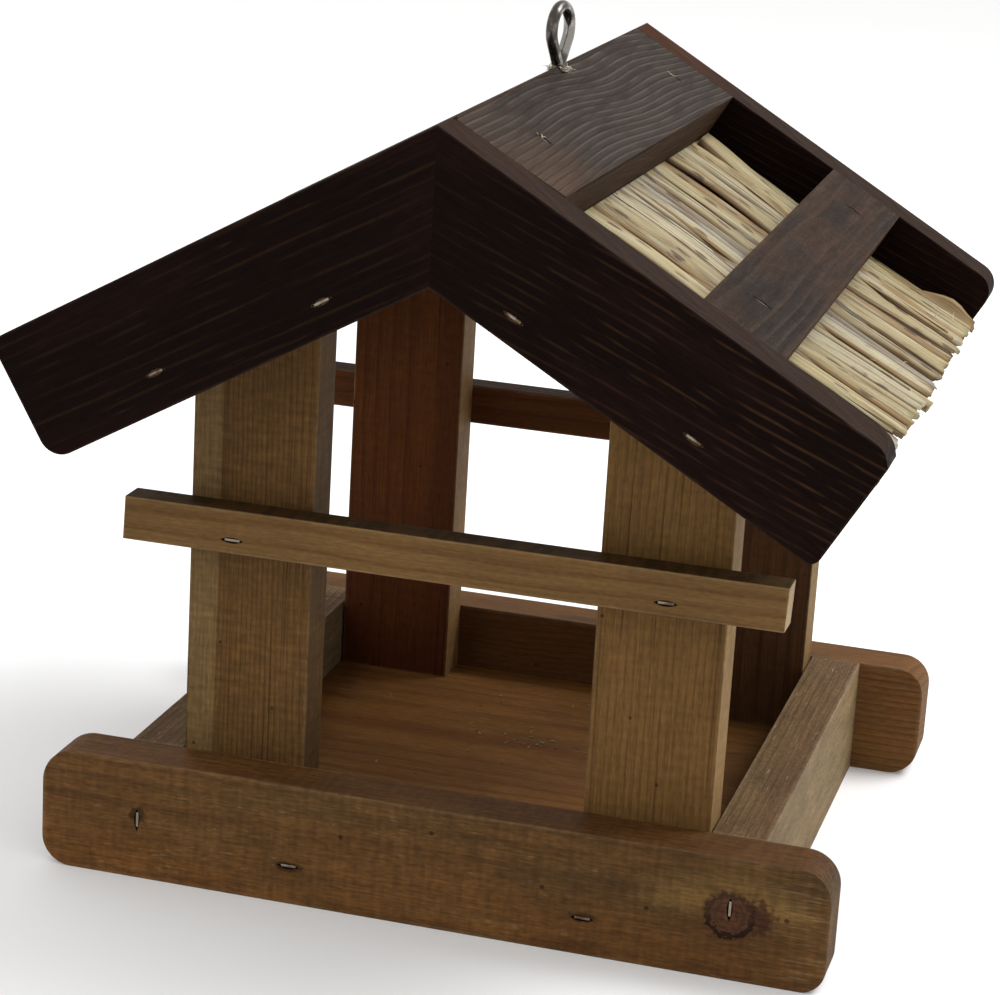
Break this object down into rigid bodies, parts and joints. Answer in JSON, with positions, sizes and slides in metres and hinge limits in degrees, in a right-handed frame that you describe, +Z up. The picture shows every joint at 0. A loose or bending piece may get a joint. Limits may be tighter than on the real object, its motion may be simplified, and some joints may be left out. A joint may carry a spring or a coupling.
{
  "type": "hanging bird feeder",
  "caption": "Hanging bird feeder: a railed wooden tray on corner posts with cross bars, under a pitched roof of dark boards and reed panels, hung by a screw eye on its ridge.",
  "frame": {"origin": "middle of the tray's underside, on the surface that the feeder stands on", "axes": "+Z up to the ridge and the screw eye, +Y from the front gable to the back gable, +X to the right seen from the front"},
  "size_m": [0.3034, 0.292, 0.3119],
  "materials": {
    "tray_wood": "oiled and weathered",
    "post_wood": "oiled and weathered",
    "bar_wood": "oiled and weathered",
    "dark_stained_wood": "dark brown stain",
    "weathered_roof_wood": "dark stain weathered grey",
    "deck_wood": "dark brown stain",
    "reed": "dry reed",
    "zinc_steel": "bright zinc plate",
    "staple_steel": "galvanised wire"
  },
  "bodies": {
    "feeder": {"back_cross_bar": "bar_wood", "back_left_barge_board": "dark_stained_wood", "back_left_post": "post_wood", "back_rail": "tray_wood", "back_right_barge_board": "dark_stained_wood", "back_right_post": "post_wood", "bar_staples": "staple_steel", "barge_staples": "staple_steel", "deck_staples": "staple_steel", "floor_board": "tray_wood", "foot_staples": "staple_steel", "front_cross_bar": "bar_wood", "front_left_barge_board": "dark_stained_wood", "front_left_post": "post_wood", "front_rail": "tray_wood", "front_right_barge_board": "dark_stained_wood", "front_right_post": "post_wood", "left_mid_slat": "weathered_roof_wood", "left_reed_layer": "reed", "left_ridge_slat": "weathered_roof_wood", "left_roof_deck": "deck_wood", "left_side_rail": "tray_wood", "mid_slat_staples": "staple_steel", "rail_staples": "staple_steel", "ridge_slat_staples": "staple_steel", "right_mid_slat": "weathered_roof_wood", "right_reed_layer": "reed", "right_ridge_slat": "weathered_roof_wood", "right_roof_deck": "deck_wood", "right_side_rail": "tray_wood"},
    "eye": {"screw_eye": "zinc_steel"}
  },
  "joints": [
    {"name": "eye_turn", "type": "hinge", "parent": "feeder", "child": "eye", "pos_m": [0, 0.004, 0.28], "axis": [0, 0, 1], "range_deg": [-90, 90]}
  ]
}
